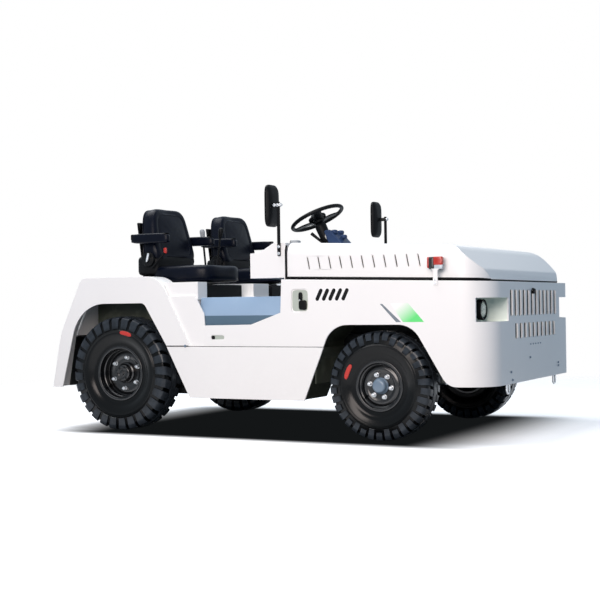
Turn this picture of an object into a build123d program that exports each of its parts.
from build123d import *
import os
from math import cos, pi, radians, sin

os.makedirs("parts", exist_ok=True)

# Overall places: X forward, Y to the left, Z up, ground at Z = 0. The origin is on the ground, under the middle
# of the whole machine.
wheelbase = 1690
rear_overhang = 590
front_overhang = 635
rear_x = -(wheelbase + front_overhang - rear_overhang) / 2
front_x = rear_x + wheelbase
half_width = 760
panel = 10

# Tyres and rims
rear_tyre_radius = 338
rear_tyre_width = 190
rear_bead_radius = 152
front_tyre_radius = 294
front_tyre_width = 177
front_bead_radius = 127
tyre_inset = 10
lug_height = 13
lug_reach = 60
rear_lugs = 28
front_lugs = 34
rim_wall = 8
rear_wheel_y = half_width - tyre_inset - rear_tyre_width / 2
front_wheel_y = half_width - tyre_inset - front_tyre_width / 2
running_gap = 0.3

# Heights of the body's lines
sill_bottom = 207
seam_z = 502
seam = 3
nose_bottom = 298
entry_z = 620
lip_knee_z = entry_z + 55
step_z = entry_z + 69
deck_edge_rear = 872
deck_edge_front = 840
platform_top = 780
plate = 12
floor_top = 650

# Stations along the body, measured from the rear axle
nose_station = wheelbase + front_overhang
entry_station = 614
cut_station = wheelbase - 571
firewall_station = cut_station - 6
fender_front = 545
nose_corner = 180

# Lines across the body, measured from its middle
fender_inner_y = half_width - 140
wing_inset = 12
wing_inner_y = half_width - wing_inset - panel
lip_inner_y = half_width - 120

# Chassis rails
rail_bottom = round(0.8 * rear_tyre_radius + 140)
rail_top = rail_bottom + 150
front_liner_inner_y = front_wheel_y - 259.5
rail_outer_y = front_liner_inner_y - 42
rail_inner_y = rail_outer_y - 60
rail_rear = -460
rail_front = nose_station - 35

# The side view plane: local x is the distance forward of the rear axle, local y is the height
side = Plane(origin=(rear_x, 0, 0), x_dir=(1, 0, 0), z_dir=(0, -1, 0))
# The plan view plane: local x is the distance forward of the rear axle, local y is to the left
plan = Plane(origin=(rear_x, 0, 0), x_dir=(1, 0, 0), z_dir=(0, 0, 1))


def save(part, label):
    """Label one finished piece and write its STEP file."""
    part.label = label
    export_step(part, f"parts/{label}.step")
    print(label, len(part.solids()), round(part.volume / 1000))


def block(x, y, z, mode=Mode.ADD):
    """A box between two corners, given as (low, high) in each direction, x measured from the rear axle."""
    with Locations((rear_x + (x[0] + x[1]) / 2, (y[0] + y[1]) / 2, (z[0] + z[1]) / 2)):
        Box(x[1] - x[0], y[1] - y[0], z[1] - z[0], mode=mode)


def corner(sketch, station, height):
    """The corner of a side view sketch that lies nearest to a station and a height."""
    return sketch.vertices().sort_by_distance((station, height, 0))[0]


def pair_of_blocks(x, y, z, mode=Mode.ADD):
    """The same box on the left side and on the right side."""
    block(x, y, z, mode)
    block(x, (-y[1], -y[0]), z, mode)


# Front shell: one bent sheet round both sides and the nose
arch_rear_foot = wheelbase - 436
arch_rear_top = wheelbase - 267
arch_front_top = wheelbase + 204
arch_front_foot = wheelbase + 399
arch_top = 620
arch_slope = (arch_rear_top - arch_rear_foot) / (arch_top - sill_bottom)
arch_seam_station = arch_rear_foot + arch_slope * (seam_z - sill_bottom)
lamp_side_station = nose_station - 87
lamp_front_y = half_width - 290
lamp_low = 632
lamp_high = 755
# Each row of louvres: how many, the row's middle, its half length, and its lower and upper ends
louvre_rows = ((12, -32, 398, 657, 797), (10, -6, 344, 535, 618))
louvre_width = 22
louvre_depth = 6
pocket_depth = 7

with BuildPart() as front_shell:
    with BuildSketch(plan.offset(sill_bottom)) as u_shape:
        with BuildLine():
            Polyline((entry_station, half_width), (nose_station, half_width), (nose_station, -half_width),
                     (entry_station, -half_width), close=True)
        make_face()
        fillet(u_shape.vertices().group_by(Axis.X)[-1], nose_corner)
        with BuildLine() as inner_line:
            Polyline((entry_station, half_width - panel), (nose_station - panel, half_width - panel),
                     (nose_station - panel, panel - half_width), (entry_station, panel - half_width), close=True)
            fillet(inner_line.vertices().group_by(Axis.X)[-1], nose_corner - panel)
        make_face(mode=Mode.SUBTRACT)
    extrude(amount=deck_edge_rear - sill_bottom)
    with BuildSketch(side) as outline:
        with BuildLine():
            Polyline((entry_station, seam_z), (entry_station, entry_z), (cut_station - 197, entry_z + 4),
                     (cut_station - 8, step_z), (cut_station, deck_edge_rear), (nose_station, deck_edge_front), (nose_station, nose_bottom),
                     (arch_front_foot, nose_bottom), (arch_front_top, arch_top), (arch_rear_top, arch_top),
                     (arch_seam_station, seam_z), close=True)
        make_face()
        fillet(corner(outline, arch_front_foot, nose_bottom), 90)
        fillet(corner(outline, arch_front_top, arch_top), 140)
        fillet(corner(outline, arch_rear_top, arch_top), 140)
    extrude(amount=half_width, both=True, mode=Mode.INTERSECT)
    pair_of_blocks((lamp_side_station, nose_station), (lamp_front_y, half_width), (lamp_low, lamp_high),
                   Mode.SUBTRACT)
    for count, middle_y, first_y, low, high in louvre_rows:
        with BuildSketch(Plane(origin=(rear_x + nose_station, middle_y, (low + high) / 2), x_dir=(0, 1, 0),
                               z_dir=(1, 0, 0))) as louvres:
            with GridLocations(2 * first_y / (count - 1), 0, count, 1):
                SlotOverall(high - low, louvre_width, rotation=90)
        extrude(louvres.sketch, amount=-louvre_depth, mode=Mode.SUBTRACT)
    for face_y in (half_width, pocket_depth - half_width):
        with BuildSketch(side.offset(-face_y)) as pockets:
            with Locations((cut_station - 416, seam_z + 50)):
                SlotOverall(87, 28)
            with Locations((cut_station + 113, deck_edge_rear - 118)):
                RectangleRounded(104, 126, 20)
        extrude(pockets.sketch, amount=pocket_depth, mode=Mode.SUBTRACT)
save(front_shell.part, "front_shell")

# Sills: the flat plates below the seam, between the wheel arches
sill_rear_foot = 509
sill_rear_top = 354

with BuildPart() as sills:
    for face_y in (half_width, panel - half_width):
        with BuildSketch(side.offset(-face_y)):
            with BuildLine():
                Polyline((sill_rear_foot, sill_bottom), (sill_rear_top, seam_z - seam),
                         (arch_seam_station, seam_z - seam), (arch_rear_foot, sill_bottom), close=True)
            make_face()
        extrude(amount=panel)
save(sills.part, "sills")

# Rear fenders: a skin over the wheel, an outer wall with the wheel opening, and a lower front wing
fender_top = 908
fender_foot = 251
fender_outline = [(-480, fender_foot), (-418, 575), (-258, fender_top), (303, fender_top), (517, seam_z),
                  (-300, seam_z), (-300, fender_foot)]
wing_outline = [(330, seam_z), (330, 791), (fender_front, 791), (604, step_z), (entry_station - seam, entry_z),
                (entry_station - seam, seam_z)]
opening_outline = [(-415, fender_foot - 20), (-277, 752), (197, 752), (354, seam_z), (340, 400),
                   (340, fender_foot - 20)]


def fender(label, outer_y, direction):
    """One fender, its outer face at outer_y and its width running inwards along direction (1 or -1 in Y)."""
    with BuildPart() as shell:
        with BuildSketch(side.offset(-outer_y)) as whole:
            with BuildLine():
                Polyline(*fender_outline, close=True)
            make_face()
            fillet(corner(whole, *fender_outline[1]), 400)
            fillet(corner(whole, *fender_outline[2]), 60)
            fillet(corner(whole, *fender_outline[3]), 150)
        extrude(amount=-direction * (half_width - fender_inner_y))
        with BuildSketch(side.offset(-(outer_y + direction * panel))) as hollow:
            with BuildLine():
                Polyline((-480 + panel, fender_foot), (-418 + panel, 575), (-258 + panel, fender_top - panel),
                         (303 - panel / 2, fender_top - panel), (517 - panel, seam_z), (517 - panel, fender_foot),
                         close=True)
            make_face()
            fillet(corner(hollow, -418 + panel, 575), 390)
            fillet(corner(hollow, -258 + panel, fender_top - panel), 50)
            fillet(corner(hollow, 303 - panel / 2, fender_top - panel), 140)
        extrude(amount=-direction * (half_width - fender_inner_y), mode=Mode.SUBTRACT)
        with BuildSketch(side.offset(-(outer_y + direction * wing_inset))):
            with BuildLine():
                Polyline(*wing_outline, close=True)
            make_face()
        extrude(amount=-direction * panel)
        with BuildSketch(side.offset(-outer_y)) as opening:
            with BuildLine():
                Polyline(*opening_outline, close=True)
            make_face()
            fillet(corner(opening, -277, 752), 240)
            fillet(corner(opening, 197, 752), 40)
        extrude(amount=-direction * (wing_inset + panel), mode=Mode.SUBTRACT)
    save(shell.part, label)


fender("fender_left", half_width, -1)
fender("fender_right", -half_width, 1)

# Rear deck: a bent sheet between the fenders, behind the seats, on two webs
deck_front = -20
tail_top = rail_top
deck_top = 900
deck_half = fender_inner_y - 2
deck_foot_rear = -412
deck_knee_rear = -409
deck_knee_z = tail_top + 15
deck_crest = -253
deck_foot_z = tail_top + running_gap
deck_inside = [(deck_foot_rear + panel, deck_foot_z), (deck_knee_rear + panel, deck_knee_z - 2),
               (deck_crest + 6, deck_top - panel), (deck_front - panel, deck_top - panel)]

with BuildPart() as rear_deck:
    with BuildSketch(side):
        with BuildLine():
            Polyline((deck_foot_rear, deck_foot_z), (deck_knee_rear, deck_knee_z), (deck_crest, deck_top),
                     (deck_front, deck_top), (deck_front, platform_top), (deck_front - panel, platform_top),
                     *deck_inside[::-1], close=True)
        make_face()
    extrude(amount=deck_half, both=True)
    for web_y in (rail_outer_y, panel - rail_outer_y):
        with BuildSketch(side.offset(-web_y)):
            with BuildLine():
                Polyline(*deck_inside, (deck_front - panel, deck_foot_z), close=True)
            make_face()
        extrude(amount=panel)
save(rear_deck.part, "rear_deck")

# Frame: two rails, cross members, and outriggers that carry the body
outrigger_y = half_width - panel
post_rear = 560
post_front = firewall_station - 53
post = 40
cross_stations = (rail_rear + 10, post_rear + 80, cut_station + 11, rail_front - 50)
sill_outrigger = wheelbase - front_tyre_radius - 216
nose_outrigger = wheelbase + front_tyre_radius + 107

with BuildPart() as frame:
    pair_of_blocks((rail_rear, rail_front), (rail_inner_y, rail_outer_y), (rail_bottom, rail_top))
    for station in cross_stations:
        block((station, station + post), (-rail_inner_y, rail_inner_y), (rail_top - 60, rail_top - 10))
    pair_of_blocks((post_rear, post_rear + post), (rail_outer_y, outrigger_y), (rail_bottom, seam_z - 10))
    pair_of_blocks((post_rear, post_rear + post), (rail_outer_y, outrigger_y - wing_inset), (seam_z - 10, rail_top))
    pair_of_blocks((sill_outrigger, sill_outrigger + post), (rail_outer_y, outrigger_y), (rail_bottom, rail_top))
    pair_of_blocks((nose_outrigger, nose_outrigger + post), (rail_outer_y, outrigger_y),
                   (rail_bottom, rail_bottom + 80))
    for station in (post_rear, post_front):
        pair_of_blocks((station, station + post), (rail_inner_y, rail_outer_y), (rail_top, floor_top - panel))
    pair_of_blocks((rail_front, nose_station - panel), (rail_inner_y, rail_outer_y), (rail_bottom, rail_bottom + 80))
save(frame.part, "frame")

# Engine block, closed inside: one plain mass between the rails, with the gearbox's nose behind it
engine_rear = wheelbase - 400
engine_front = wheelbase + 270
engine_half = rail_inner_y - 70
gearbox_station = engine_rear - 50
with BuildPart() as engine_block:
    block((engine_rear, engine_front), (-engine_half, engine_half), (rail_bottom + 20, rail_top + 240))
    block((gearbox_station, engine_rear), (-70, 70), (rail_bottom + 20, rail_bottom + 120))
    for station in (engine_rear + 110, engine_front - 140):
        pair_of_blocks((station, station + post), (engine_half, rail_inner_y), (rail_bottom + 40, rail_bottom + 90))
save(engine_block.part, "engine_block")

# Front axle: a beam with an eye at each end for the king pin, and two leaf springs up to the rails
king_pin_y = front_wheel_y - 111.5
king_pin_radius = 12
eye_radius = 35
beam_height = 70
spring_y = (rail_inner_y, rail_outer_y)
spring_half_span = 250
spring_thickness = 26


def leaf_springs(middle, seat_z):
    """A pair of arched springs over an axle at the station middle, their ends against the rails."""
    for low_y in (spring_y[0], -spring_y[1]):
        with BuildSketch(side.offset(-low_y)) as leaf:
            with BuildLine():
                Polyline((middle - spring_half_span, rail_bottom), (middle - 60, seat_z + spring_thickness),
                         (middle + 60, seat_z + spring_thickness), (middle + spring_half_span, rail_bottom),
                         (middle + spring_half_span, rail_bottom - spring_thickness), (middle + 60, seat_z),
                         (middle - 60, seat_z), (middle - spring_half_span, rail_bottom - spring_thickness),
                         close=True)
            make_face()
        extrude(leaf.sketch, amount=spring_y[0] - spring_y[1])


with BuildPart() as front_axle:
    block((wheelbase - 40, wheelbase + 40), (-king_pin_y, king_pin_y),
          (front_tyre_radius - beam_height / 2, front_tyre_radius + beam_height / 2))
    with Locations((front_x, king_pin_y, front_tyre_radius), (front_x, -king_pin_y, front_tyre_radius)):
        Box(2 * eye_radius + 20, 2 * eye_radius + 10, beam_height, mode=Mode.SUBTRACT)
        Cylinder(eye_radius, beam_height)
    pair_of_blocks((wheelbase - 40, wheelbase + 40), (king_pin_y - eye_radius - 20, king_pin_y - eye_radius / 2),
                   (front_tyre_radius - beam_height / 2, front_tyre_radius + beam_height / 2))
    with Locations((front_x, king_pin_y, front_tyre_radius), (front_x, -king_pin_y, front_tyre_radius)):
        Cylinder(king_pin_radius + running_gap, beam_height, mode=Mode.SUBTRACT)
    leaf_springs(wheelbase, front_tyre_radius + beam_height / 2)
save(front_axle.part, "front_axle")

# Rear axle: tubes, a differential bulge, spindles for the wheels, springs and the propeller shaft
axle_tube_radius = 55
spindle_radius = 40
differential_radius = 135
shaft_radius = 35
shaft_rise = 0.105
hub_face_rear = rear_wheel_y - 30

with BuildPart() as rear_axle:
    with Locations(Location((rear_x, 0, rear_tyre_radius), (90, 0, 0))):
        Cylinder(axle_tube_radius, 2 * (hub_face_rear - running_gap - 40))
        Cylinder(spindle_radius, 2 * (rear_wheel_y + 40))
    with Locations((rear_x, 0, rear_tyre_radius)):
        Sphere(differential_radius)
    with BuildSketch(Plane(origin=(rear_x, 0, rear_tyre_radius), x_dir=(0, 1, 0), z_dir=(1, 0, shaft_rise))):
        Circle(shaft_radius)
    extrude(amount=gearbox_station - 5)
    leaf_springs(0, rear_tyre_radius + axle_tube_radius - 24)
save(rear_axle.part, "rear_axle")

# Wheels: tyres with lugs across the tread, and rims turned about the axle line
tyre_shoulder = 18
shoulder_drop = 26
bead_inset = 24
flange_height = 10
flange_thickness = 5
bead_bulge = 45
carcass_sides = 36
gap_share = 0.28


def ring_points(count, radius):
    """The corners of a regular polygon whose flat sides touch a circle of the given radius."""
    reach = radius / cos(pi / count)
    return [(reach * cos(2 * pi * k / count), reach * sin(2 * pi * k / count)) for k in range(count)]


def lug_points(lugs, tip, root):
    """A gear's outline: lugs out to the tip radius with gaps down to the root radius, one lug's corner lowest."""
    pitch = 2 * pi / lugs
    turns = (0, 1 - gap_share, 1 - gap_share, 1)
    return [(r * cos((k + t) * pitch - pi / 2), r * sin((k + t) * pitch - pi / 2))
            for k in range(lugs) for t, r in zip(turns, (tip, tip, root, root))]


def ring_at(points, x, y, z):
    """An outline's points stood upright at y, about a wheel's centre."""
    return [(x + across, y, z + up) for across, up in points]


def band(first, second):
    """Flat four-sided faces all the way round between two rings of equally many points."""
    return [Face(Wire.make_polygon([first[k - 1], first[k], second[k], second[k - 1]]))
            for k in range(len(first))]


def tyre(label, x, y, radius, width, bead, lugs):
    """A tyre of flat faces: a gear across the tread, tapered shoulders, flat sides, and beads that draw in."""
    half = width / 2
    tread_gear = lug_points(lugs, radius, radius - lug_height)
    side_gear = lug_points(lugs, radius - shoulder_drop, radius - lug_reach)
    side_ring = ring_points(carcass_sides, bead + bead_bulge)
    seat_ring = ring_points(carcass_sides, bead + flange_height)
    bore_ring = ring_points(carcass_sides, bead)
    treads, bores, faces = [], [], []
    for out in (1, -1):
        tread, side, hole, seat, bore = (
            ring_at(points, x, y + out * distance, radius)
            for points, distance in ((tread_gear, half - tyre_shoulder), (side_gear, half), (side_ring, half),
                                     (seat_ring, half - bead_inset), (bore_ring, half - bead_inset)))
        treads.append(tread)
        bores.append(bore)
        faces += band(tread, side) + band(hole, seat)
        faces += [Face(Wire.make_polygon(side), [Wire.make_polygon(hole)]),
                  Face(Wire.make_polygon(seat), [Wire.make_polygon(bore)])]
    faces += band(*treads) + band(*bores)
    solid = Solid(Shell(faces))
    save(solid if solid.volume > 0 else -solid, label)


def rim(label, x, y, radius, bead, width, outward, bore, disc_offset):
    """A rim: barrel, disc and hub, open outwards; outward is 1 on the left side and -1 on the right."""
    seat = width / 2 - bead_inset
    with BuildPart() as wheel:
        with BuildSketch(Plane(origin=(x, y, radius), x_dir=(0, outward, 0), z_dir=(outward, 0, 0))):
            with BuildLine():
                Polyline((-seat, bead), (-seat, bead + flange_height),
                         (-seat - flange_thickness, bead + flange_height),
                         (-seat - flange_thickness, bead - rim_wall), (disc_offset - 12, bead - rim_wall - 6),
                         (disc_offset - 12, 70), (disc_offset - 40, 70), (disc_offset - 40, bore),
                         (disc_offset + 32, bore), (disc_offset + 32, 0), (disc_offset + 45, 0),
                         (disc_offset + 45, 48), (disc_offset, 60), (disc_offset, bead - rim_wall - 6),
                         (seat + flange_thickness, bead - rim_wall), (seat + flange_thickness, bead + flange_height),
                         (seat, bead + flange_height), (seat, bead), close=True)
            make_face()
        revolve(axis=Axis((x, y, radius), (0, 1, 0)))
    save(wheel.part, label)


for name, sign in (("left", 1), ("right", -1)):
    tyre(f"tyre_rear_{name}", rear_x, sign * rear_wheel_y, rear_tyre_radius, rear_tyre_width, rear_bead_radius,
         rear_lugs)
    tyre(f"tyre_front_{name}", front_x, sign * front_wheel_y, front_tyre_radius, front_tyre_width,
         front_bead_radius, front_lugs)

# Knuckles: a yoke round the axle's eye, the king pin, the spindle and a steering arm that points rearwards
yoke_plate = 20
yoke_web_y = king_pin_y + 53
arm_length = 130
arm_z = front_tyre_radius - beam_height / 2 - yoke_plate
tie_pin_radius = 9
tie_eye_radius = 18
tie_eye_height = 24

for name, sign in (("left", 1), ("right", -1)):
    with BuildPart() as knuckle:
        with Locations((front_x, sign * king_pin_y, front_tyre_radius)):
            Cylinder(king_pin_radius, beam_height + 2 * yoke_plate)
        for plate_z in (front_tyre_radius + (beam_height + yoke_plate) / 2 + running_gap,
                        front_tyre_radius - (beam_height + yoke_plate) / 2 - running_gap):
            with Locations((front_x, sign * king_pin_y, plate_z)):
                Cylinder(eye_radius, yoke_plate)
            with Locations((front_x, sign * (king_pin_y + yoke_web_y) / 2, plate_z)):
                Box(2 * eye_radius, yoke_web_y - king_pin_y, yoke_plate)
        with Locations((front_x, sign * (yoke_web_y + 9), front_tyre_radius)):
            Box(2 * eye_radius, 18, beam_height + 2 * yoke_plate + 2 * running_gap)
        with Locations(Location((front_x, sign * (yoke_web_y + front_wheel_y + 40) / 2, front_tyre_radius),
                                (90, 0, 0))):
            Cylinder(spindle_radius - 10, front_wheel_y + 40 - yoke_web_y)
        with Locations((front_x - arm_length / 2 - 10, sign * king_pin_y, arm_z + yoke_plate / 2 - running_gap)):
            Box(arm_length - 20, 34, yoke_plate)
        with Locations((front_x - arm_length, sign * king_pin_y, arm_z + yoke_plate / 2 - running_gap)):
            Cylinder(tie_eye_radius + 3, yoke_plate)
        with Locations((front_x - arm_length, sign * king_pin_y, arm_z - tie_eye_height / 2)):
            Cylinder(tie_pin_radius, tie_eye_height)
    save(knuckle.part, f"knuckle_{name}")

# Tie rod: a bar under the two steering arms with an eye round each arm's pin
with BuildPart() as tie_rod:
    tie_z = arm_z - running_gap - tie_eye_height / 2
    with Locations(Location((front_x - arm_length, 0, tie_z), (90, 0, 0))):
        Cylinder(11, 2 * (king_pin_y - tie_eye_radius + 5))
    with Locations((front_x - arm_length, king_pin_y, tie_z), (front_x - arm_length, -king_pin_y, tie_z)):
        Cylinder(tie_eye_radius, tie_eye_height)
        Cylinder(tie_pin_radius + running_gap, tie_eye_height, mode=Mode.SUBTRACT)
save(tie_rod.part, "tie_rod")

for name, sign in (("left", 1), ("right", -1)):
    rim(f"rim_rear_{name}", rear_x, sign * rear_wheel_y, rear_tyre_radius, rear_bead_radius, rear_tyre_width,
        sign, spindle_radius + running_gap, 10)
    rim(f"rim_front_{name}", front_x, sign * front_wheel_y, front_tyre_radius, front_bead_radius, front_tyre_width,
        sign, spindle_radius - 10 + running_gap, 45)

# Tail plate: a thick plate across the tail, bolted to the rails' ends, with spare holes for the coupler
tail_thickness = 25
tail_rear = rail_rear - tail_thickness
tail_bottom = 251
tail_half = fender_inner_y - 5
hitch_hole_radius = 9
hitch_spacing_y = 200
hitch_spacing_z = 60
hitch_z = 310

with BuildPart() as tail_plate:
    block((tail_rear, rail_rear), (-tail_half, tail_half), (tail_bottom, tail_top))
    block((rail_rear, deck_foot_rear + panel), (5 - rail_inner_y, rail_inner_y - 5), (tail_top - panel, tail_top))
    pair_of_blocks((rail_rear, deck_foot_rear + panel), (rail_outer_y + 5, tail_half), (tail_top - panel, tail_top))
    with Locations(Plane(origin=(rear_x + tail_rear, 0, hitch_z), x_dir=(0, 1, 0), z_dir=(-1, 0, 0))):
        with GridLocations(hitch_spacing_y, hitch_spacing_z, 2, 2):
            Hole(hitch_hole_radius, tail_thickness * 2)
save(tail_plate.part, "tail_plate")

# Coupler: a back plate with three jaw plates; the pin holds a drawbar in the upper slot, the lower slot is free
jaw_plate = 20
jaw_pitch = 60
jaw_low_z = tail_top - 180
jaw_half_width = 55
jaw_reach = rear_overhang + tail_rear
coupler_pin_radius = 15
jaw_bore_radius = 16
pin_station = tail_rear - 65

with BuildPart() as coupler:
    block((tail_rear - 15, tail_rear), (-jaw_half_width - 25, jaw_half_width + 25), (jaw_low_z - 30, jaw_low_z + 170))
    for level in range(3):
        low = jaw_low_z + level * jaw_pitch
        block((tail_rear - jaw_reach, tail_rear - 15), (-jaw_half_width, jaw_half_width), (low, low + jaw_plate))
    with Locations((rear_x + pin_station, 0, jaw_low_z + jaw_pitch)):
        Cylinder(jaw_bore_radius, 4 * jaw_pitch, mode=Mode.SUBTRACT)
save(coupler.part, "coupler")

pin_bottom = jaw_low_z + jaw_pitch
pin_top = jaw_low_z + 2 * jaw_pitch + jaw_plate
with BuildPart() as coupler_pin:
    with Locations((rear_x + pin_station, 0, (pin_top + pin_bottom) / 2)):
        Cylinder(coupler_pin_radius, pin_top - pin_bottom + 4)
    with Locations((rear_x + pin_station, 0, pin_top + running_gap + 5)):
        Cylinder(coupler_pin_radius + 10, 10)
    with Locations((rear_x + pin_station, 0, pin_top + 28)):
        Cylinder(7, 44)
    with Locations(Location((rear_x + pin_station, 0, pin_top + 66), (90, 0, 0))):
        Torus(22, 6)
save(coupler_pin.part, "coupler_pin")

# Tow loops: two bent rods under the nose, welded to its lower edge
loop_rod = 6
loop_y = half_width - 335
loop_station = nose_station - 25
with BuildPart() as tow_loops:
    for y in (loop_y, -loop_y):
        with BuildLine(Plane(origin=(rear_x + loop_station, y, nose_bottom), x_dir=(0, 1, 0), z_dir=(1, 0, 0))):
            Polyline((-20, 20), (-20, -32))
            Polyline((20, -32), (20, 20))
            ThreePointArc((-20, -32), (0, -52), (20, -32))
        with BuildSketch(Plane(origin=(rear_x + loop_station, y - 20, nose_bottom + 20), z_dir=(0, 0, -1))):
            Circle(loop_rod)
        sweep()
    pair_of_blocks((loop_station - 12, nose_station - panel), (loop_y - 40, loop_y + 40),
                   (nose_bottom + 2, nose_bottom + 60))
save(tow_loops.part, "tow_loops")

# Arch liners: sheets over the front wheels, and inner walls beside the rear wheels
liner = 6
rear_liner_y = rear_wheel_y - 115
liner_top = 2 * front_tyre_radius + 64
liner_foot = front_tyre_radius + 6
liner_knee = 2 * front_tyre_radius - 58
liner_rear = wheelbase - front_tyre_radius - 78
liner_front = wheelbase + front_tyre_radius + 78
liner_top_rear = liner_rear + 122
liner_top_front = liner_front - 127
liner_outside = [(liner_rear, liner_foot), (liner_rear, liner_knee), (liner_top_rear, liner_top),
                 (liner_top_front, liner_top), (liner_front, liner_knee - 5), (liner_front, liner_foot + 20)]
liner_inside = [(liner_rear + liner, liner_foot), (liner_rear + liner, liner_knee - 2),
                (liner_top_rear + 2, liner_top - liner), (liner_top_front - 2, liner_top - liner),
                (liner_front - liner, liner_knee - 7), (liner_front - liner, liner_foot + 20)]
with BuildPart() as arch_liners:
    for low_y in (front_liner_inner_y, running_gap - outrigger_y):
        with BuildSketch(side.offset(-low_y)):
            with BuildLine():
                Polyline(*liner_outside, *liner_inside[::-1], close=True)
            make_face()
        extrude(amount=-(outrigger_y - running_gap - front_liner_inner_y))
    pair_of_blocks((-300, 380), (rear_liner_y, rear_liner_y + liner), (520, platform_top - plate - running_gap))
save(arch_liners.part, "arch_liners")

# Seat platform: a plate over the rear axle with side ledges, a front wall, two webs and a console between the seats
ledge_top = platform_top + 90
console_top = platform_top + 85
platform_rear = deck_front
platform_front = post_rear
console_half = 95

with BuildPart() as seat_platform:
    block((platform_rear, platform_front), (-deck_half, deck_half), (platform_top - plate, platform_top))
    pair_of_blocks((400, platform_front), (deck_half, wing_inner_y), (platform_top - plate, platform_top))
    block((platform_front - 20, platform_front - 10), (-wing_inner_y + 30, wing_inner_y - 30),
          (rail_top, platform_top - plate))
    pair_of_blocks((platform_rear, platform_front - 20), (rail_outer_y - panel, rail_outer_y),
                   (rail_top, platform_top - plate))
    for low_y in (lip_inner_y, -wing_inner_y):
        with BuildSketch(side.offset(-low_y)) as ledge:
            with BuildLine():
                Polyline((372, platform_top), (325, ledge_top), (platform_front, ledge_top),
                         (platform_front, platform_top), close=True)
            make_face()
        extrude(amount=lip_inner_y - wing_inner_y)
    block((100, platform_front - 10), (-console_half, console_half), (platform_top, console_top))
save(seat_platform.part, "seat_platform")

# Floor pan: a tray between two raised side lips
lip_outer_y = wing_inner_y - 2
with BuildPart() as floor_pan:
    with BuildSketch(Plane(origin=(rear_x + platform_front, 0, 0), x_dir=(0, 1, 0), z_dir=(1, 0, 0))):
        with BuildLine():
            Polyline((lip_outer_y, entry_z), (lip_outer_y, lip_knee_z), (lip_outer_y - 36, platform_top),
                     (lip_inner_y, platform_top), (lip_inner_y, floor_top), (-lip_inner_y, floor_top),
                     (-lip_inner_y, platform_top), (36 - lip_outer_y, platform_top), (-lip_outer_y, lip_knee_z),
                     (-lip_outer_y, entry_z), (-lip_inner_y, entry_z), (-lip_inner_y, floor_top - panel),
                     (lip_inner_y, floor_top - panel), (lip_inner_y, entry_z), close=True)
        make_face()
    extrude(amount=firewall_station - platform_front)
save(floor_pan.part, "floor_pan")

# Cowl: the scuttle behind the hood, with an ear on each side and a firewall down to the floor
hood_half = half_width - 45
cowl_half = hood_half - 3
cowl_rear = cut_station - 224
cowl_shelf = cowl_rear + 60
cowl_crest = cowl_rear + 150
cowl_front = firewall_station + panel
cowl_low = 882
cowl_top = 1076
hinge_y = hood_half - 315
hinge_z = cowl_top - 6
hinge_inner = 25
hinge_outer = 42
knuckle_length = hinge_outer - hinge_inner - 1
hinge_pin_radius = 2.5
hinge_barrel_radius = 5.5
hood_rear = cowl_front + 12
hinge_station = (cowl_front + hood_rear) / 2
with BuildPart() as cowl:
    with BuildSketch(side):
        with BuildLine():
            Polyline((cowl_rear, cowl_low), (cowl_rear, cowl_top - 54), (cowl_shelf, cowl_top - 50),
                     (cowl_crest, cowl_top), (cowl_front, cowl_top), (cowl_front, cowl_low), close=True)
        make_face()
    extrude(amount=cowl_half, both=True)
    with BuildSketch(side):
        with BuildLine():
            Polyline((cowl_rear + panel, cowl_low - 1), (cowl_rear + panel, cowl_top - 54 - panel),
                     (cowl_shelf + 2, cowl_top - 51 - panel), (cowl_crest + 2, cowl_top - panel),
                     (firewall_station, cowl_top - panel), (firewall_station, cowl_low - 1), close=True)
        make_face()
    extrude(amount=cowl_half - panel, both=True, mode=Mode.SUBTRACT)
    block((firewall_station, cowl_front), (-cowl_half, cowl_half), (entry_z, cowl_low))
    for y in (hinge_y, -hinge_y):
        with Locations(Location((rear_x + hinge_station, y, hinge_z), (90, 0, 0))):
            Cylinder(hinge_pin_radius, 2 * hinge_outer)
        for low in (y - hinge_outer, y + hinge_inner + 1):
            with Locations(Location((rear_x + hinge_station, low + knuckle_length / 2, hinge_z), (90, 0, 0))):
                Cylinder(hinge_barrel_radius, knuckle_length)
            block((cowl_front, hinge_station), (low, low + knuckle_length), (hinge_z - 4, hinge_z + 4))
save(cowl.part, "cowl")

# Instrument pod and steering column
seat_clear = 43
seat_half = (lip_inner_y - seat_clear - console_half - 72) / 2
seat_y = lip_inner_y - seat_clear - seat_half
wheel_x = cowl_rear - 140
wheel_y = seat_y
wheel_z = cowl_top + 214
tilt = 25
down = (sin(radians(tilt)), -cos(radians(tilt)))


def column_point(s):
    """The point of the steering axis a distance s below the rim's plane."""
    return (rear_x + wheel_x + s * down[0], wheel_y, wheel_z + s * down[1])


with BuildPart() as instrument_pod:
    with BuildSketch(side.offset(-(wheel_y + 80))):
        with BuildLine():
            Polyline((cowl_rear + 20, cowl_top - 52.4), (cowl_shelf, cowl_top - 49.7),
                     (cowl_crest - 2, cowl_top - 0.7), (cowl_rear + 80, cowl_top + 36),
                     (cowl_rear + 35, cowl_top + 84), (cowl_rear - 13, cowl_top + 129),
                     (cowl_rear - 59, cowl_top + 129), close=True)
        make_face()
    extrude(amount=160)
    fillet(instrument_pod.edges().filter_by(Axis.X, reverse=True).group_by(Axis.Z)[-1], 12)
save(instrument_pod.part, "instrument_pod")

column_plane = Plane(origin=column_point(44), x_dir=(0, 1, 0), z_dir=(down[0], 0, down[1]))
with BuildPart() as steering_column:
    with BuildSketch(column_plane):
        Circle(26)
    extrude(amount=226)
    with BuildSketch(column_plane):
        Circle(9)
    extrude(amount=-50)
    block((cowl_rear - 45, cowl_rear), (wheel_y - 28, wheel_y + 28), (cowl_top - 111, cowl_top - 36))
save(steering_column.part, "steering_column")

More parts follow.
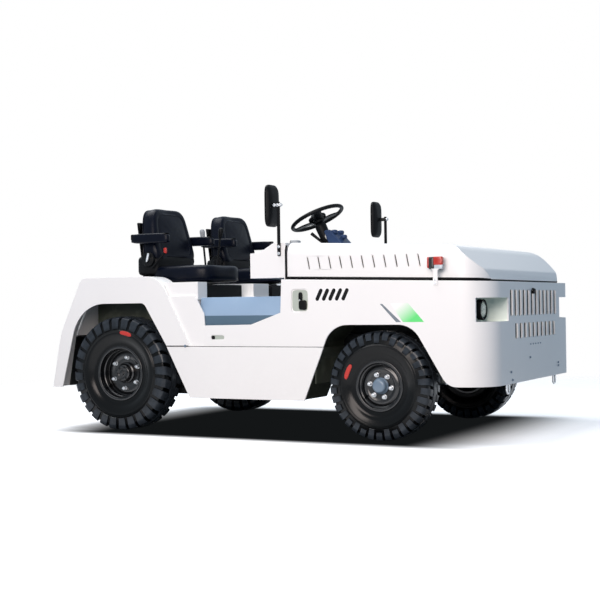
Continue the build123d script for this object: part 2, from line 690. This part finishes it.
# Steering wheel: rim, hub and three spokes
rim_radius = 180
rim_rod = 13
wheel_plane = Plane(origin=column_point(0), x_dir=(0, 1, 0), z_dir=(-down[0], 0, -down[1]))
with BuildPart() as steering_wheel:
    with Locations(wheel_plane):
        Torus(rim_radius, rim_rod)
    with Locations(wheel_plane.offset(-15)):
        Cylinder(34, 46)
        Cylinder(9 + running_gap, 80, mode=Mode.SUBTRACT)
    with Locations(wheel_plane.offset(14)):
        Cylinder(34, 14)
    with Locations(wheel_plane.offset(-4)):
        for angle in (90, 210, 330):
            with Locations(Location((0, 0, 0), (0, 0, angle))):
                with Locations((105, 0, 0)):
                    Box(155, 30, 8)
save(steering_wheel.part, "steering_wheel")

# Hood: one shell, worked out as the overlap of its side view, its plan and its front view
hood_front = nose_station - 45
hood_top = cowl_top + 2
hood_slope_station = nose_station - 215
hood_slope_z = hood_top - 42
hood_wall = 8
hood_low_rear = deck_edge_rear + 8
hood_low_front = deck_edge_front + 10
lip_z = hood_low_front + 55


def hood_form(inset, drop):
    """The hood's solid form, drawn in by inset on every outer side and let down by drop at its open bottom."""
    with BuildPart() as form:
        with BuildSketch(side) as view:
            with BuildLine():
                Polyline((hood_rear + inset, hood_low_rear - drop), (hood_rear + inset, hood_top - inset),
                         (hood_slope_station, hood_slope_z - inset), (hood_front - 24 - inset, lip_z),
                         (hood_front - inset, hood_low_front - drop), close=True)
            make_face()
            fillet(corner(view, hood_slope_station, hood_slope_z - inset), 140)
            fillet(corner(view, hood_front - 24 - inset, lip_z), 40)
        extrude(amount=hood_half, both=True)
        with BuildSketch(plan.offset(700)) as top_view:
            with BuildLine():
                Polyline((hood_rear, hood_half - inset), (hood_front - inset, hood_half - inset),
                         (hood_front - inset, inset - hood_half), (hood_rear, inset - hood_half), close=True)
            make_face()
            fillet(top_view.vertices().group_by(Axis.X)[-1], 150 - inset)
        extrude(amount=500, mode=Mode.INTERSECT)
        with BuildSketch(Plane(origin=(rear_x + hood_rear - 1, 0, hood_top - inset), x_dir=(0, 1, 0),
                               z_dir=(1, 0, 0))) as end:
            with BuildLine():
                Polyline((hood_half - inset, -400), (hood_half - inset, 0), (inset - hood_half, 0),
                         (inset - hood_half, -400), close=True)
            make_face()
            fillet(end.vertices().group_by(Axis.Y)[-1], 70 - inset)
        extrude(amount=1.2 * (hood_front - hood_rear),
                dir=(hood_slope_station - hood_rear, 0, hood_slope_z - hood_top), mode=Mode.INTERSECT)
    return form.part


slit_count = 11
slit_pitch = 65.5
slit_depth = 4
with BuildPart() as hood:
    add(hood_form(0, 0))
    add(hood_form(hood_wall, 20), mode=Mode.SUBTRACT)
    for face_y in (hood_half, slit_depth - hood_half):
        with BuildSketch(side.offset(-face_y)) as slits:
            with Locations((hood_rear + 459, lip_z + 53)):
                with GridLocations(slit_pitch, 0, slit_count, 1):
                    SlotOverall(74, 9, rotation=101)
        extrude(slits.sketch, amount=slit_depth, mode=Mode.SUBTRACT)
    for y in (hinge_y, -hinge_y):
        block((hinge_station, hood_rear + 2), (y - hinge_inner, y + hinge_inner), (hinge_z - 4, hinge_z + 4))
        with Locations(Location((rear_x + hinge_station, y, hinge_z), (90, 0, 0))):
            Cylinder(hinge_barrel_radius, 2 * hinge_inner)
            Cylinder(hinge_pin_radius + running_gap, 2 * hinge_inner, mode=Mode.SUBTRACT)
save(hood.part, "hood")

# Lamp boxes: open bent boxes behind the openings at the nose's corners, and the headlamps on their back walls
lamp_sheet = 6
lamp_box_rear = nose_station - 150
with BuildPart() as lamp_boxes:
    pair_of_blocks((lamp_box_rear, nose_station), (lamp_front_y - 8, half_width), (lamp_low - 8, lamp_high + 8))
    pair_of_blocks((lamp_box_rear + lamp_sheet, nose_station), (lamp_front_y - 8 + lamp_sheet, half_width),
                   (lamp_low - 8 + lamp_sheet, lamp_high + 8 - lamp_sheet), Mode.SUBTRACT)
    with BuildSketch(plan.offset(lamp_low - 20)) as inside:
        with BuildLine():
            Polyline((entry_station, half_width - panel), (nose_station - panel, half_width - panel),
                     (nose_station - panel, panel - half_width), (entry_station, panel - half_width), close=True)
        make_face()
        fillet(inside.vertices().group_by(Axis.X)[-1], nose_corner - panel)
    extrude(amount=300, mode=Mode.INTERSECT)
save(lamp_boxes.part, "lamp_boxes")

headlamp_radius = 55
headlamp_y = half_width - 195
with BuildPart() as headlamps:
    for y in (headlamp_y, -headlamp_y):
        with BuildSketch(Plane(origin=(rear_x + lamp_box_rear + lamp_sheet, y, (lamp_low + lamp_high) / 2),
                               z_dir=(1, 0, 0))) as bezel:
            Circle(headlamp_radius)
        extrude(bezel.sketch, amount=36)
        with BuildSketch(Plane(origin=(rear_x + lamp_box_rear + lamp_sheet, y, (lamp_low + lamp_high) / 2),
                               z_dir=(1, 0, 0))) as glass:
            Circle(headlamp_radius - 7)
        extrude(glass.sketch, amount=46)
    fillet(headlamps.edges().group_by(Axis.X)[-1], 9)
    chamfer(headlamps.edges().group_by(Axis.X)[0], 10)
save(headlamps.part, "headlamps")

# Signal lamps on their brackets beside the hood
signal_station = wheelbase + 288
signal_low = lip_z
signal_high = signal_low + 67
with BuildPart() as signal_lamps:
    pair_of_blocks((signal_station, signal_station + 62), (hood_half + 8, half_width + 10), (signal_low, signal_high))
    fillet(signal_lamps.edges().filter_by(Axis.Z) + signal_lamps.edges().group_by(Axis.Z)[-1], 10)
    pair_of_blocks((signal_station + 20, signal_station + 44), (half_width, half_width + 6),
                   (deck_edge_front - 18, signal_low + 1))
save(signal_lamps.part, "signal_lamps")

# Tail lamps on the tail plate
with BuildPart() as tail_lamps:
    pair_of_blocks((tail_rear - 28, tail_rear), (tail_half - 255, tail_half - 135), (tail_top - 90, tail_top - 30))
save(tail_lamps.part, "tail_lamps")

# Mirrors: a head on a rod that is bolted to the cowl's ear
mirror_rod = 7
mirror_x = cowl_front - 43
mirror_head_y = cowl_half - 17
mirror_rod_y = cowl_half + 9
mirror_z = cowl_top + 209
with BuildPart() as mirrors:
    for sign in (1, -1):
        with Locations((rear_x + mirror_x - 50, sign * mirror_head_y, mirror_z)):
            Box(35, 130, 235)
    fillet(mirrors.edges().filter_by(Axis.X), 22)
    fillet(mirrors.faces().sort_by(Axis.X)[-2:].edges(), 9)
    for sign in (1, -1):
        with Locations((rear_x + mirror_x, sign * mirror_rod_y, cowl_top + 77)):
            Cylinder(mirror_rod, 300)
    pair_of_blocks((mirror_x - 10, mirror_x + 10), (cowl_half, cowl_half + 6), (cowl_top - 73, cowl_top + 2))
    pair_of_blocks((mirror_x - 35, mirror_x + 4), (mirror_rod_y - 6, mirror_rod_y + 6),
                   (mirror_z - 9, mirror_z + 7))
save(mirrors.part, "mirrors")

# Hand levers on the console, and two pedals on the firewall
with BuildPart() as levers:
    for x, y, lean in ((150, 30, -6), (230, -35, 8)):
        with Locations(Location((rear_x + x, y, console_top + 1.1), (0, lean, 0))):
            with Locations((0, 0, 150)):
                Cylinder(7, 300)
            with Locations((0, 0, 320)):
                Cylinder(17, 50)
save(levers.part, "levers")

with BuildPart() as pedals:
    for y in (wheel_y - 52, wheel_y + 58):
        block((firewall_station - 63, firewall_station), (y - 8, y + 8), (floor_top + 85, floor_top + 101))
        block((firewall_station - 78, firewall_station - 62), (y - 35, y + 35), (floor_top + 50, floor_top + 125))
save(pedals.part, "pedals")

# Seats: a black base and back shell with armrests, a cushion and a back
cushion_low = platform_top + 77
cushion_top = cushion_low + 121
back_low = cushion_top + 4
back_top = cushion_low + 465
arm_low = cushion_low + 258
for name, sign in (("left", 1), ("right", -1)):
    middle = sign * seat_y
    with BuildPart() as seat_frame:
        block((60, 520), (middle - seat_half + 15, middle + seat_half - 15), (platform_top, cushion_low - running_gap))
        with BuildSketch(side.offset(-(middle + seat_half - 25))):
            with BuildLine():
                Polyline((88, cushion_low - running_gap), (74.5, cushion_top - 13), (37.6, back_top - 82),
                         (17, back_top - 82), (54, cushion_top - 13), (62, cushion_low - running_gap), close=True)
            make_face()
        extrude(amount=2 * (seat_half - 25))
        for arm in (1, -1):
            arm_y = middle + arm * (seat_half + 30)
            block((25, 50), (arm_y - 55 if arm > 0 else arm_y - 15, arm_y + 15 if arm > 0 else arm_y + 55),
                  (arm_low, arm_low + 30))
            block((25, 335), (arm_y - 20, arm_y + 20), (arm_low + 15, arm_low + 50))
        fillet(seat_frame.edges().filter_by(Axis.Y).group_by(Axis.X)[-2], 14)
    save(seat_frame.part, f"seat_frame_{name}")
    with BuildPart() as cushion:
        with BuildSketch(side.offset(-(middle + seat_half))) as cushion_side:
            with BuildLine():
                Polyline((100, cushion_low), (100, cushion_top - 23), (470, cushion_top), (545, cushion_top - 23),
                         (545, cushion_low), close=True)
            make_face()
            fillet(corner(cushion_side, 545, cushion_top - 23), 30)
        extrude(amount=2 * seat_half)
        fillet(cushion.faces().sort_by(Axis.Z)[-1].edges(), 20)
    save(cushion.part, f"seat_cushion_{name}")
    with BuildPart() as back:
        with BuildSketch(side.offset(-(middle + seat_half))) as back_side:
            with BuildLine():
                Polyline((155, back_low), (73, back_low), (31, back_top - 27), (52, back_top), (98, back_top),
                         (118, back_top - 27), close=True)
            make_face()
        extrude(amount=2 * seat_half)
        fillet(back.faces().sort_by(Axis.Z)[-1].edges().filter_by(Axis.X), 45)
    save(back.part, f"seat_back_{name}")
